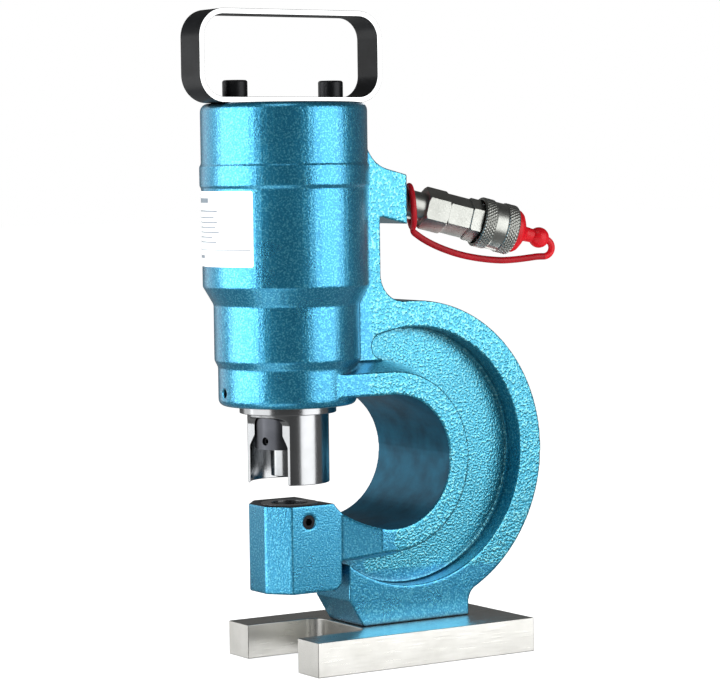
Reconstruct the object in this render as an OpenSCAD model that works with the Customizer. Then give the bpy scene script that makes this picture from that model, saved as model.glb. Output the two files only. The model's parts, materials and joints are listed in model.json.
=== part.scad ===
// Hydraulic hole punch: a cast C-frame with a spring-return ram, a stripper, a die,
// a carry handle, a slotted base plate and a quick coupler with a tethered dust plug.
// Millimetres, +Z up. The origin is the middle of the base plate's underside. +X runs
// from the punch to the back of the throat, and the side parts are built on the punch axis.

/* [Base plate] */
// Length of the plate, front to rear
plate_l = 188; // [176:1:220]
// Width of the plate
plate_w = 126; // [112:1:150]
// Thickness of the plate
plate_t = 25; // [20:1:32]
// How far the plate reaches in front of the punch axis
plate_front = 16; // [8:1:24]
// Width of the slug slot in the plate's front edge
slot_w = 70; // [50:1:80]
// How far the slot reaches behind the punch axis
slot_rear = 44; // [36:1:47]
// Radius of the slot's inner corners
slot_r = 11; // [4:1:20]
// Thread size of the screws that hold the plate to the foot
base_screw_d = 12; // [8:1:14]

/* [Throat and jaws] */
// Radius of the throat
throat_r = 48.5; // [44:0.5:52]
// How far the throat's centre lies behind the punch axis
throat_x = 60; // [56:1:66]
// Height of the throat's centre above the plate's underside
throat_z = 147; // [142:1:156]
// Width of the jaw ring round the throat
jaw_w = 97; // [90:0.5:99]
// Thickness of the jaw ring at its outer faces
jaw_t = 16.5; // [13:0.5:20]
// How much thicker the jaw ring is where it meets the web
jaw_draft = 7; // [3:0.5:9]

/* [Spine and foot] */
// How far the rim's centre lies behind the punch axis
rim_x = 94; // [90:1:98]
// Outer radius of the rim
rim_r = 114.5; // [110:0.5:118]
// Width of the rim round the crescent pocket
rim_t = 19.5; // [15:0.5:24]
// Thickness of the rim, the neck and the foot across the frame
web_w = 47; // [40:1:54]
// Thickness of the web left between the two crescent pockets
web_core = 13; // [9:1:20]
// Radius of the pocket's upper end
pocket_r = 9; // [6:0.5:11]
// How far the foot's front face lies behind the punch axis
foot_front = 36; // [33:1:40]
// How far the foot's toe lies behind the punch axis
foot_toe = 48; // [47:1:54]
// Height of the foot's slanted toe above the plate
toe_h = 20; // [12:1:26]
// How far the foot's rear face lies behind the punch axis
foot_rear = 141; // [134:1:146]
// Radius of the fillet between the foot and the rim
foot_fillet = 12; // [8:1:16]
// How far the neck's rear face lies behind the punch axis
neck_rear = 66.5; // [64:0.5:72]
// Radius of the fillet between the neck and the rim
neck_fillet = 20; // [14:1:24]

/* [Die block] */
// Width across the flats of the die block, which is eight-sided in front
block_af = 55; // [52:0.5:62]
// Height of the die block
block_h = 63.5; // [54:0.5:66]
// Radius of the die block's lower rear edge
block_round = 8; // [3:1:10]
// Width of the rib between the die block and the foot
rib_w = 26; // [18:1:34]
// Outside diameter of the die
die_d = 42; // [38:0.5:44]
// Height of the die
die_h = 30; // [24:1:34]
// Height of the die's cutting land
die_land = 8; // [5:1:12]
// Radial clearance between the punch and the die
die_clear = 0.3; // [0.3:0.05:0.6]
// Diameter of the slug hole under the die
slug_d = 31; // [29:0.5:34]
// Thread size of the die's set screw
die_screw_d = 10; // [6:1:10]
// Depth of the die's set screw below the die block's top
die_screw_drop = 12; // [9:1:16]

/* [Cylinder] */
// Outside diameter of the cylinder
cyl_d = 120; // [118:1:126]
// Height of the cylinder's upper part
cyl_h = 131; // [122:1:145]
// Radius of the cylinder's top edge
cyl_round = 6; // [3:0.5:8]
// How far the raised band stands out
band_out = 1.2; // [0.5:0.1:2]
// Height of the raised band
band_h = 17; // [10:1:22]
// Depth of the raised band's top below the cylinder's top
band_drop = 43.5; // [35:0.5:52]
// Height of the cone under the upper part
cone_h = 13; // [8:1:18]
// Outside diameter of the cylinder's neck
neck_d = 105; // [102:1:112]
// Height of the neck
neck_h = 40; // [36:1:48]
// Height of the step between the neck and the collar
step_h = 5; // [2:1:8]
// Outside diameter of the collar
collar_d = 100; // [98:1:102]
// Height of the collar
collar_h = 28; // [25:1:32]
// How far the collar hangs below the upper jaw
collar_drop = 6.5; // [3:0.5:9]
// Radius of the collar's lower edge
collar_round = 5; // [2:0.5:7]

/* [Ram] */
// Bore of the cylinder
bore_d = 80; // [76:1:84]
// Diameter of the ram's rod
rod_d = 48; // [46:0.5:49]
// Height of the piston
piston_h = 34; // [30:1:38]
// Height of the oil space round the piston's crown
oil_h = 14; // [10:1:16]
// Diameter of the piston's crown
crown_d = 56; // [40:1:64]
// Travel of the ram
stroke = 26; // [20:1:28]
// How far the rod's end lies below the collar at rest
rod_reach = 31; // [27:1:34]
// Diameter of the punch
punch_d = 26; // [16:0.5:26.5]
// Length of the punch below the rod
punch_l = 20; // [17:1:21]
// Diameter of the punch's shank
shank_d = 20; // [14:1:22]
// Length of the punch's shank inside the rod
shank_l = 22; // [16:1:26]
// Thread size of the punch's set screw
punch_screw_d = 6; // [5:1:8]
// Wire diameter of the return spring
spring_wire = 7; // [5:0.5:7.5]
// Turns of the return spring
spring_turns = 5; // [4:0.5:5]
// Radial running clearance of the piston and the rod
run_clear = 0.05; // [0.02:0.01:0.1]

/* [Cap and handle] */
// Thread diameter of the cylinder's cap
cap_d = 100; // [98:1:104]
// Length of the cap's thread
cap_thread_h = 42; // [34:1:46]
// Length of the cap's sealing spigot
cap_spigot_h = 10; // [8:1:14]
// Length of the handle
handle_l = 152; // [140:1:170]
// Height of the handle
handle_h = 66; // [58:1:80]
// Width of the handle's strip
handle_w = 27; // [22:1:32]
// Thickness of the handle's strip
handle_t = 4; // [3:0.5:6]
// Outer radius of the handle's corners
handle_r = 20; // [12:1:28]
// Spacing of the handle's screws
handle_pitch = 80; // [70:1:84]
// Thread size of the handle's screws
handle_screw_d = 12; // [8:1:12]

/* [Stripper] */
// Outside diameter of the stripper's sleeve
strip_d = 59; // [58:0.5:61]
// Reach of the stripper below the collar
strip_l = 56; // [54:1:60]
// Diameter of the stripper's flange
strip_flange_d = 70; // [66:1:78]
// Thickness of the stripper's flange
strip_flange_h = 5.5; // [4:0.5:7]
// Thread diameter of the stripper
strip_thread_d = 62; // [60:1:66]
// Length of the stripper's thread
strip_thread_h = 16; // [13:1:18]
// How far the stripper's window lies in front of the punch axis
window_x = 21.3; // [20:0.1:23]
// How far the stripper's window is turned to the near side
window_turn = 17; // [0:1:20]
// Gap between the stripper and the die block, for the work
work_gap = 15; // [12:0.5:18]
// Thread size of the stripper's set screw
strip_screw_d = 6; // [5:1:8]

/* [Oil port and coupler] */
// How far the port's seat lies behind the punch axis
port_x = 86; // [84:0.5:88]
// Depth of the port's seat below the cylinder's top
port_drop = 69.5; // [66:0.5:72]
// Downward tilt of the port's axis
port_tilt = 14.5; // [12:0.5:17]
// Sideways turn of the port's axis
port_yaw = 13; // [0:0.5:14]
// Height of the port's boss
boss_h = 35; // [32:1:40]
// How far the boss's end lies behind the punch axis
boss_x = 90; // [88:0.5:92]
// Radius of the fillet above the boss
boss_fillet = 25; // [15:1:28]
// Length of the adapter's neck, from its seat to its hexagon
adapter_neck_l = 29.5; // [26:0.5:34]
// Diameter of the adapter's neck
adapter_neck_d = 21.5; // [20:0.5:23]
// Width across the flats of the adapter's hexagon
adapter_af = 28; // [25:0.5:30]
// Length of the adapter's hexagon
adapter_hex_l = 18; // [14:0.5:22]
// Thread diameter at both ends of the adapter
port_thread_d = 17; // [16:0.5:18]
// Width across the flats of the coupler's rear hexagon
coupler_af = 26; // [24:0.5:27]
// Length of the coupler's rear hexagon
coupler_hex_l = 18; // [16:0.5:22]
// Width across the flats of the coupler's collar
coupler_collar_af = 28; // [26.5:0.5:28.5]
// Length of the coupler's collar
coupler_collar_l = 9; // [7:0.5:11]
// Outside diameter of the sliding sleeve
sleeve_d = 37.6; // [37:0.2:40]
// Length of the sliding sleeve
sleeve_l = 28; // [27:0.5:32]
// Width of the sleeve's smooth waist
waist_l = 9.5; // [7:0.5:12]
// Travel of the sliding sleeve
sleeve_travel = 5; // [3:0.5:5.5]
// Travel of the valve poppet
valve_travel = 4; // [3:0.5:5]
// Diameter of the locking balls
ball_d = 4.8; // [4.4:0.1:5]
// Number of locking balls
ball_count = 8; // [6:1:9]

/* [Dust plug] */
// Diameter of the plug's flange
plug_d = 32; // [29:0.5:35]
// Diameter of the plug's ball knob
knob_d = 15.5; // [12:0.5:16.5]
// Diameter of the plug's nose
plug_nose_d = 14.6; // [13:0.2:15]
// Diameter of the tether
tether_d = 5; // [4:0.5:5.5]
// Inside diameter of the tether's ring
ring_inner_d = 26.5; // [24.5:0.5:28]
// Thickness of the tether's ring
ring_wire_d = 4.4; // [3.6:0.2:4.8]

/* [Hidden] */
$fn = 96;

// Clearances and small amounts
thread_clear = 0.1;
seat_clear = 0.3;
eps = 0.5;
far = 400;

// Heights, from the plate's underside up
plate_mid = plate_l / 2 - plate_front;
lip_z = throat_z + throat_r;
collar_z = lip_z - collar_drop;
neck_z = collar_z + collar_h + step_h;
neck_top = neck_z + neck_h;
cyl_z = neck_top + cone_h;
cyl_top = cyl_z + cyl_h;
strip_z = collar_z - strip_l;
block_top = strip_z - work_gap;
block_z = block_top - block_h;
die_z = block_top - die_h;
chamber_top = cyl_top - cap_thread_h - cap_spigot_h;
crown_top = chamber_top - seat_clear;
piston_top = crown_top - oil_h;
piston_z = piston_top - piston_h;
rod_z = collar_z - rod_reach;
bush_z = collar_z + strip_thread_h;
wiper_h = 4;
bush_h = 30;
spring_seat = bush_z + bush_h;
port_z = cyl_top - port_drop;

// Radii
rod_r = rod_d / 2;
bore_r = bore_d / 2;
jaw_r = throat_r + jaw_t;
pocket_rim_r = rim_r - rim_t;
bush_r = rod_r + 5;
spring_r = (bush_r + bore_r) / 2 - 0.8;
slug_r = slug_d / 2;

// Turns a 2D shape drawn in X and Z into a slab across the frame
module across(width) rotate([90, 0, 0]) linear_extrude(width, center = true) children();

// Turns a 2D shape drawn in Y and Z into a bar along X
module along(x0, x1)
    translate([x0, 0, 0]) rotate([90, 0, 90]) linear_extrude(x1 - x0) children();

// Moves a part from the punch axis to the part's own origin
module place() translate([-plate_mid, 0, 0]) children();

// Carries a part drawn along +Z to the port's axis, with zero at the port's seat
module on_port()
    place() translate([port_x, 0, port_z]) rotate([0, 0, -port_yaw]) rotate([0, 90 + port_tilt, 0]) children();

// A disc or ring between two heights
module ring(r_out, r_in, z0, z1)
    translate([0, 0, z0]) difference() {
        cylinder(r = r_out, h = z1 - z0);
        if (r_in > 0) translate([0, 0, -eps]) cylinder(r = r_in, h = z1 - z0 + 2 * eps);
    }

// A hexagonal bar between two heights, a flat to each side, with its ends turned to a short cone
module hex_bar(af, z0, z1, chamfer = 1) {
    corner = af / sqrt(3);
    intersection() {
        translate([0, 0, z0]) cylinder(r = corner, h = z1 - z0, $fn = 6);
        rotate_extrude() polygon([
            [0, z0], [corner - chamfer, z0], [corner + eps, z0 + chamfer],
            [corner + eps, z1 - chamfer], [corner - chamfer, z1], [0, z1]
        ]);
    }
}

// An O-ring round the axis
module o_ring(r_mid, section_r, z)
    translate([0, 0, z]) rotate_extrude() translate([r_mid, 0]) circle(section_r, $fn = 32);

// A set screw along +Z from zero to its outer end, with a pointed inner end and a hexagon socket
module set_screw(d, l) {
    point = d / 4;
    socket_af = d / 2;
    difference() {
        union() {
            translate([0, 0, point]) cylinder(d = d - 2 * thread_clear, h = l - point);
            cylinder(d1 = d / 2, d2 = d - 2 * thread_clear, h = point);
        }
        translate([0, 0, l - socket_af]) cylinder(r = socket_af / sqrt(3), h = l, $fn = 6);
    }
}

// A socket head cap screw with its head's seat at zero and its shank down
module cap_screw(d, shank) {
    head_d = 1.5 * d;
    socket_af = 0.83 * d;
    difference() {
        union() {
            translate([0, 0, -shank]) cylinder(d = d - 2 * thread_clear, h = shank + eps);
            rotate_extrude() polygon([
                [0, 0], [head_d / 2, 0], [head_d / 2, d - d / 12], [head_d / 2 - d / 12, d], [0, d]
            ]);
        }
        translate([0, 0, d / 2]) cylinder(r = socket_af / sqrt(3), h = d, $fn = 6);
    }
}

// One unbroken spring wire of six sides, its ends square to what they meet
coil_rings = 8;
coil_sides = 6;
function coil_point(r, pitch, a) = [r * cos(a), r * sin(a), pitch * a / 360];
function coil_sections(r, wire_r, turns, pitch) = [
    for (i = [0 : round(turns * coil_rings)])
        let (a = i * 360 / coil_rings, lean = atan(pitch / (2 * PI * r)))
            [for (j = [0 : coil_sides - 1])
                let (b = j * 360 / coil_sides, out = wire_r * cos(b), up = wire_r * sin(b))
                    coil_point(r, pitch, a)
                        + [out * cos(a) + up * sin(lean) * sin(a),
                           out * sin(a) - up * sin(lean) * cos(a),
                           up * cos(lean)]]
];
module tube_of(sections, sides) {
    last = len(sections) - 1;
    points = [for (s = sections) for (p = s) p];
    skin = [
        for (i = [0 : last - 1]) for (j = [0 : sides - 1])
            let (k = (j + 1) % sides, a = i * sides + j, b = i * sides + k, c = a + sides, d = b + sides)
                each [[a, b, c], [b, d, c]]
    ];
    near_cap = [for (j = [1 : sides - 2]) [0, j + 1, j]];
    far_cap = [for (j = [1 : sides - 2]) [last * sides, last * sides + j, last * sides + j + 1]];
    polyhedron(points = points, faces = concat(skin, near_cap, far_cap), convexity = 10);
}
// A spring between two heights, and the gap between its neighbouring turns
module coil(r, wire, turns, z0, z1) {
    pitch = (z1 - z0 - wire) / turns;
    echo(spring_gap = norm(coil_point(r, pitch, 360) - coil_point(r, pitch, 0)) - wire);
    translate([0, 0, z0 + wire / 2]) tube_of(coil_sections(r, wire / 2, turns, pitch), coil_sides);
}

// The frame casting

// Outside of the cylinder, revolved on the punch axis
module cylinder_outside() {
    upper_r = cyl_d / 2;
    collar_r = collar_d / 2;
    collar_top = collar_z + collar_h;
    band_top = cyl_top - band_drop;
    band_edge = 1.5;
    rotate_extrude() {
        translate([0, cyl_z]) square([upper_r, cyl_h - cyl_round]);
        translate([0, cyl_z]) square([upper_r - cyl_round, cyl_h]);
        translate([upper_r - cyl_round, cyl_top - cyl_round]) circle(cyl_round);
        polygon([
            [0, band_top - band_h], [upper_r, band_top - band_h],
            [upper_r + band_out, band_top - band_h + band_edge],
            [upper_r + band_out, band_top - band_edge], [upper_r, band_top], [0, band_top]
        ]);
        polygon([
            [0, collar_top], [collar_r, collar_top], [neck_d / 2, neck_z], [neck_d / 2, neck_top],
            [upper_r, cyl_z], [0, cyl_z]
        ]);
        translate([0, collar_z + collar_round]) square([collar_r, collar_h - collar_round]);
        translate([0, collar_z]) square([collar_r - collar_round, collar_h]);
        translate([collar_r - collar_round, collar_z + collar_round]) circle(collar_round);
    }
}

// Height of the boss's centre line, behind the punch axis
function boss_line(x) = port_z - (x - port_x) * tan(port_tilt);

// Concave fillet: the corner between two edges, less a circle that touches both
module fillet_2d(touch_a, corner, touch_b, centre, r)
    difference() {
        polygon([touch_a, corner, touch_b, centre]);
        translate(centre) circle(r);
    }

// Side outline of the rim, the neck, the boss and the foot
module web_outline() {
    half = boss_h / 2 / cos(port_tilt);
    // How far a fillet's circle dips into the rim, so that they meet at a clean corner
    bite = 0.05;
    side_x = sqrt(pow(cyl_d / 2, 2) - pow(web_w / 2, 2)) - eps;
    // Rim
    intersection() {
        translate([rim_x, throat_z]) circle(rim_r);
        translate([foot_front, 0]) square([far, far]);
    }
    // Foot
    polygon([
        [foot_front, throat_z], [foot_front, plate_t + toe_h], [foot_toe, plate_t],
        [foot_rear, plate_t], [foot_rear, throat_z]
    ]);
    // Fillet behind the foot
    heel = [foot_rear + foot_fillet,
            throat_z - sqrt(pow(rim_r + foot_fillet - bite, 2) - pow(foot_rear + foot_fillet - rim_x, 2))];
    heel_dir = ([rim_x, throat_z] - heel) / (rim_r + foot_fillet - bite);
    fillet_2d([foot_rear, heel[1]], [foot_rear, heel[1] + foot_fillet],
              heel + (foot_fillet + eps) * heel_dir, heel, foot_fillet);
    // Neck
    translate([0, lip_z]) square([neck_rear, boss_line(neck_rear) - lip_z]);
    // Fillet between the neck and the rim
    nape = [neck_rear + neck_fillet,
            throat_z + sqrt(pow(rim_r + neck_fillet - bite, 2) - pow(neck_rear + neck_fillet - rim_x, 2))];
    nape_dir = ([rim_x, throat_z] - nape) / (rim_r + neck_fillet - bite);
    fillet_2d([neck_rear, nape[1]], [neck_rear, throat_z + rim_r - neck_fillet / 2],
              nape + (neck_fillet + eps) * nape_dir, nape, neck_fillet);
    // Boss
    polygon([
        [0, boss_line(0) + half], [boss_x, boss_line(boss_x) + half],
        [boss_x, boss_line(boss_x) - half], [0, boss_line(0) - half]
    ]);
    // Fillet above the boss
    crook_x = side_x + boss_fillet;
    crook = [crook_x, boss_line(crook_x) + half + boss_fillet / cos(port_tilt)];
    fillet_2d([side_x, crook[1]], [side_x, boss_line(side_x) + half],
              crook - boss_fillet * [sin(port_tilt), cos(port_tilt)], crook, boss_fillet);
}

// Outline of the crescent pocket, before the jaw ring covers its inner side
module pocket_outline() {
    end_x = neck_rear + 0.5;
    end_z = throat_z + sqrt(pow(pocket_rim_r, 2) - pow(end_x - rim_x, 2)) - pocket_r;
    intersection() {
        translate([rim_x, throat_z]) circle(pocket_rim_r);
        union() {
            translate([end_x, throat_z]) square([far, far]);
            translate([-far, throat_z - far]) square([2 * far, far + eps]);
        }
    }
    translate([end_x, end_z]) circle(pocket_r);
}

// Slab of the rim, the neck and the foot, with a pocket in each side
module web()
    difference() {
        across(web_w) web_outline();
        for (side = [-1, 1])
            translate([0, side * (web_w + web_core) / 2, 0]) across(web_w) pocket_outline();
    }

// Jaw ring: the rear half round the throat, thicker towards the web
module jaw_ring() {
    outer = (jaw_w - web_w) / 2;
    intersection() {
        translate([throat_x, 0, throat_z]) rotate([90, 0, 0]) {
            cylinder(r = jaw_r + jaw_draft, h = web_w, center = true);
            for (side = [0, 1]) mirror([0, 0, side])
                translate([0, 0, web_w / 2]) cylinder(r1 = jaw_r + jaw_draft, r2 = jaw_r, h = outer);
        }
        translate([throat_x, -far / 2, 0]) cube([far, far, far]);
    }
}

// Upper jaw: runs forward from the ring into the collar
module upper_jaw()
    along(0, throat_x + eps) polygon([
        [-jaw_w / 2, lip_z], [jaw_w / 2, lip_z], [jaw_w / 2, throat_z + jaw_r],
        [web_w / 2, throat_z + jaw_r + jaw_draft], [-web_w / 2, throat_z + jaw_r + jaw_draft],
        [-jaw_w / 2, throat_z + jaw_r]
    ]);

// Lower jaw: narrows from the ring to the die block by a flare at each side
module lower_jaw() {
    flare = (jaw_w - block_af) / 2;
    rear = block_af / 2;
    intersection() {
        linear_extrude(block_top) polygon([
            [0, -rear], [rear, -rear], [rear + flare, -jaw_w / 2], [throat_x + eps, -jaw_w / 2],
            [throat_x + eps, jaw_w / 2], [rear + flare, jaw_w / 2], [rear, rear], [0, rear]
        ]);
        along(0, throat_x + eps) polygon([
            [-jaw_w / 2, block_top], [-jaw_w / 2, throat_z - jaw_r],
            [-web_w / 2, throat_z - jaw_r - jaw_draft], [web_w / 2, throat_z - jaw_r - jaw_draft],
            [jaw_w / 2, throat_z - jaw_r], [jaw_w / 2, block_top]
        ]);
    }
}

// Die block: eight-sided in front, square behind, with a rounded lower rear edge
module die_block() {
    half = block_af / 2;
    facet = half * tan(22.5);
    shoulder = facet + 3;
    intersection() {
        translate([0, 0, block_z]) linear_extrude(block_h) polygon([
            [-half, -facet], [-shoulder, -half], [half, -half], [half, half], [-shoulder, half], [-half, facet]
        ]);
        across(block_af + 2 * eps) {
            translate([-far, block_z - eps]) square([far + half - block_round, block_h]);
            translate([-far, block_z + block_round]) square([far + half + eps, block_h]);
            translate([half - block_round, block_z + block_round]) circle(block_round);
        }
    }
}

// Rib that ties the die block's rear face to the foot
module die_rib()
    translate([0, -rib_w / 2, block_z + block_round])
        cube([foot_front + eps, rib_w, throat_z - jaw_r - block_z - block_round]);

strip_screw_z = collar_z + 10;
strip_screw_turn = 174;
punch_screw_turn = 195;
punch_screw_z = rod_z + 6;
die_screw_z = block_top - die_screw_drop;
base_screw_toe = 17;
base_screw_heel = 21;
base_screw_xs = [foot_toe + base_screw_toe, foot_rear - base_screw_heel];
base_screw_grip = 30;
port_depth = 16;
oil_d = 8;
spot_d = adapter_af + 5;

module frame_casting()
    color("#3FA9C9") {
        difference() {
            place() union() {
                cylinder_outside();
                difference() {
                    union() {
                        web();
                        jaw_ring();
                        upper_jaw();
                        lower_jaw();
                        die_block();
                        die_rib();
                    }
                    translate([throat_x, 0, throat_z]) rotate([90, 0, 0])
                        cylinder(r = throat_r, h = far, center = true);
                    // Way into the throat from the front
                    translate([-far, -far / 2, block_top]) cube([far + throat_x, far, lip_z - block_top]);
                }
            }
            place() {
                // Cap's thread, the bore, the bush's seat and the stripper's thread
                ring(cap_d / 2, 0, chamber_top + cap_spigot_h, cyl_top + eps);
                ring(bore_r, 0, spring_seat, chamber_top + cap_spigot_h + eps);
                ring(bush_r, 0, collar_z, spring_seat + eps);
                ring(strip_thread_d / 2, 0, collar_z - eps, bush_z);
                // Die's seat and the slug hole
                ring(die_d / 2 + thread_clear, 0, die_z, block_top + eps);
                ring(slug_r, 0, block_z - eps, die_z + eps);
                // Set screws
                translate([0, 0, strip_screw_z]) rotate([0, 0, strip_screw_turn]) rotate([0, 90, 0])
                    cylinder(d = strip_screw_d, h = collar_d);
                translate([0, 0, die_screw_z]) rotate([90, 0, 0]) cylinder(d = die_screw_d, h = block_af);
                // Base screws
                for (x = base_screw_xs) translate([x, 0, plate_t - eps])
                    cylinder(d = base_screw_d, h = base_screw_grip);
            }
            on_port() {
                cylinder(d = spot_d, h = 3 * boss_h);
                translate([0, 0, -port_depth]) cylinder(d = port_thread_d, h = port_depth + eps);
                translate([0, 0, -port_x + bore_r / 2]) cylinder(d = oil_d, h = port_x);
            }
        }
    }

// Base plate and its screws

screw_seat_d = 1.5 * base_screw_d + 2;
screw_seat_h = base_screw_d + 1;

module base_plate()
    color("#C9CBCB") place() difference() {
        translate([-plate_front, -plate_w / 2, 0]) cube([plate_l, plate_w, plate_t]);
        // Slug slot with round inner corners
        translate([0, 0, -eps]) linear_extrude(plate_t + 2 * eps) {
            translate([-plate_front - eps, -slot_w / 2]) square([slot_rear + plate_front + eps - slot_r, slot_w]);
            translate([-plate_front - eps, -slot_w / 2 + slot_r])
                square([slot_rear + plate_front + eps, slot_w - 2 * slot_r]);
            for (side = [-1, 1]) translate([slot_rear - slot_r, side * (slot_w / 2 - slot_r)]) circle(slot_r);
        }
        for (x = base_screw_xs) translate([x, 0, -eps]) {
            cylinder(d = base_screw_d + 1, h = plate_t + 2 * eps);
            cylinder(d = screw_seat_d, h = screw_seat_h + eps);
        }
    }

module base_screws()
    color("#2B2B2D") place()
        for (x = base_screw_xs) translate([x, 0, screw_seat_h]) rotate([180, 0, 0])
            cap_screw(base_screw_d, plate_t - screw_seat_h + base_screw_grip - 4);

// Cap and handle

spanner_d = 10;
spanner_r = 34;
cap_groove = 5;
cap_screw_grip = 24;

module cylinder_cap()
    color("#2F3A42") place() difference() {
        union() {
            ring(cap_d / 2 - thread_clear, 0, chamber_top + cap_spigot_h, cyl_top);
            ring(bore_r - thread_clear, 0, chamber_top, chamber_top + cap_spigot_h + eps);
        }
        ring(bore_r + eps, bore_r - 3, chamber_top + 2, chamber_top + 2 + cap_groove);
        for (side = [-1, 1]) {
            translate([0, side * spanner_r, cyl_top - spanner_d]) cylinder(d = spanner_d, h = far);
            translate([side * handle_pitch / 2, 0, cyl_top - cap_screw_grip])
                cylinder(d = handle_screw_d, h = far);
        }
    }

module cap_seal()
    color("#1C1C1C") place() ring(bore_r - thread_clear, bore_r - 3 + thread_clear, chamber_top + 2 + thread_clear,
                                  chamber_top + 2 + cap_groove - thread_clear);

// A rectangle with round corners, its lower edge on the X axis
module round_rect(l, h, r) {
    translate([-l / 2 + r, 0]) square([l - 2 * r, h]);
    translate([-l / 2, r]) square([l, h - 2 * r]);
    for (x = [-l / 2 + r, l / 2 - r], z = [r, h - r]) translate([x, z]) circle(r);
}

module carry_handle()
    color("#1B1C1E") place() translate([0, 0, cyl_top]) difference() {
        across(handle_w) difference() {
            round_rect(handle_l, handle_h, handle_r);
            translate([0, handle_t]) round_rect(handle_l - 2 * handle_t, handle_h - 2 * handle_t, handle_r - handle_t);
        }
        for (side = [-1, 1]) translate([side * handle_pitch / 2, 0, -eps])
            cylinder(d = handle_screw_d + 1, h = handle_t + 2 * eps);
    }

module handle_screws()
    color("#17181A") place()
        for (side = [-1, 1]) translate([side * handle_pitch / 2, 0, cyl_top + handle_t])
            cap_screw(handle_screw_d, handle_t + cap_screw_grip - 3);

// Ram

seal_h = 6;
wear_h = 8;
seal_depth = 5.5;
wear_depth = 3;
seal_z = piston_top - seal_h - 6;
wear_z = piston_z + 5;
piston_r = bore_r - run_clear;

module guide_bush()
    color("#A9793A") place() ring(bush_r - thread_clear, rod_r + run_clear, bush_z + wiper_h + thread_clear, spring_seat);

module rod_wiper()
    color("#20262A") place() ring(bush_r - thread_clear, rod_r + run_clear, bush_z + thread_clear, bush_z + wiper_h);

module ram()
    color("#55565A") place() difference() {
        union() {
            ring(crown_d / 2, 0, piston_top - eps, crown_top);
            ring(piston_r, 0, piston_z, piston_top);
            ring(rod_r, 0, rod_z, piston_z + eps);
        }
        ring(piston_r + eps, piston_r - seal_depth, seal_z, seal_z + seal_h);
        ring(piston_r + eps, piston_r - wear_depth, wear_z, wear_z + wear_h);
        ring(shank_d / 2 + thread_clear, 0, rod_z - eps, rod_z + shank_l + thread_clear);
        translate([0, 0, punch_screw_z]) rotate([0, 0, punch_screw_turn]) rotate([0, 90, 0])
            cylinder(d = punch_screw_d, h = rod_d);
    }

module piston_seal()
    color("#2E5E9E") place() ring(piston_r, piston_r - seal_depth + thread_clear, seal_z + thread_clear,
                                  seal_z + seal_h - thread_clear);

module piston_wear_ring()
    color("#7A6A52") place() ring(piston_r, piston_r - wear_depth + thread_clear, wear_z + thread_clear,
                                  wear_z + wear_h - thread_clear);

module return_spring()
    color("#4A4C50") place() coil(spring_r, spring_wire, spring_turns, spring_seat + seat_clear, piston_z - seat_clear);

module punch()
    color("#D5D7DA") place() rotate_extrude() polygon([
        [0, rod_z - punch_l], [punch_d / 2 - 0.4, rod_z - punch_l], [punch_d / 2, rod_z - punch_l + 0.4],
        [punch_d / 2, rod_z], [shank_d / 2, rod_z], [shank_d / 2, rod_z + shank_l - 1],
        [shank_d / 2 - 1, rod_z + shank_l], [0, rod_z + shank_l]
    ]);

module punch_set_screw()
    color("#1E1E20") place() translate([0, 0, punch_screw_z]) rotate([0, 0, punch_screw_turn]) rotate([0, 90, 0])
        translate([0, 0, shank_d / 2 + thread_clear])
            set_screw(punch_screw_d, rod_r - 2 - shank_d / 2 - thread_clear);

// Stripper

strip_throat_r = rod_r + 1;
strip_bore_r = rod_r + 3.8;
strip_bore_h = 27;
strip_bore_z = strip_z + strip_bore_h;
window_top = collar_z - strip_flange_h - 2.4;
window_r = 6;

module stripper()
    color("#C7CACD") place() difference() {
        union() {
            ring(strip_thread_d / 2 - thread_clear, 0, collar_z - eps, bush_z);
            ring(strip_flange_d / 2, 0, collar_z - strip_flange_h, collar_z);
            ring(strip_d / 2, 0, strip_z, collar_z - strip_flange_h + eps);
        }
        // Bore, wider at the punch
        rotate_extrude() polygon([
            [0, strip_z - eps], [strip_bore_r, strip_z - eps], [strip_bore_r, strip_bore_z],
            [strip_throat_r, strip_bore_z + 8], [strip_throat_r, bush_z + eps], [0, bush_z + eps]
        ]);
        // Window in the front, with a round upper corner
        rotate([0, 0, window_turn]) across(strip_d + eps) {
            translate([-far - window_x, strip_z - eps]) square([far, window_top - window_r - strip_z + eps]);
            translate([-far - window_x - window_r, strip_z - eps]) square([far, window_top - strip_z + eps]);
            translate([-window_x - window_r, window_top - window_r]) circle(window_r);
        }
    }

module stripper_set_screw()
    color("#1E1E20") place() translate([0, 0, strip_screw_z]) rotate([0, 0, strip_screw_turn]) rotate([0, 90, 0])
        translate([0, 0, strip_thread_d / 2])
            set_screw(strip_screw_d, (collar_d - strip_thread_d) / 2 - 3);

// Die

relief_r = punch_d / 2 + 2.2;
dimple = 1;

module die()
    color("#6B6D70") place() difference() {
        translate([0, 0, die_z]) cylinder(d = die_d, h = die_h);
        ring(punch_d / 2 + die_clear, 0, die_z, block_top + eps);
        ring(relief_r, 0, die_z - eps, block_top - die_land);
        translate([0, 0, die_screw_z]) rotate([90, 0, 0])
            translate([0, 0, die_d / 2 - dimple]) cylinder(d = die_screw_d, h = die_d);
    }

module die_set_screw()
    color("#1E1E20") place() translate([0, 0, die_screw_z]) rotate([90, 0, 0])
        translate([0, 0, die_d / 2 - dimple + thread_clear])
            set_screw(die_screw_d, (block_af - die_d) / 2 + dimple - 1);

// Inlet adapter and quick coupler, drawn along the port's axis

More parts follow.
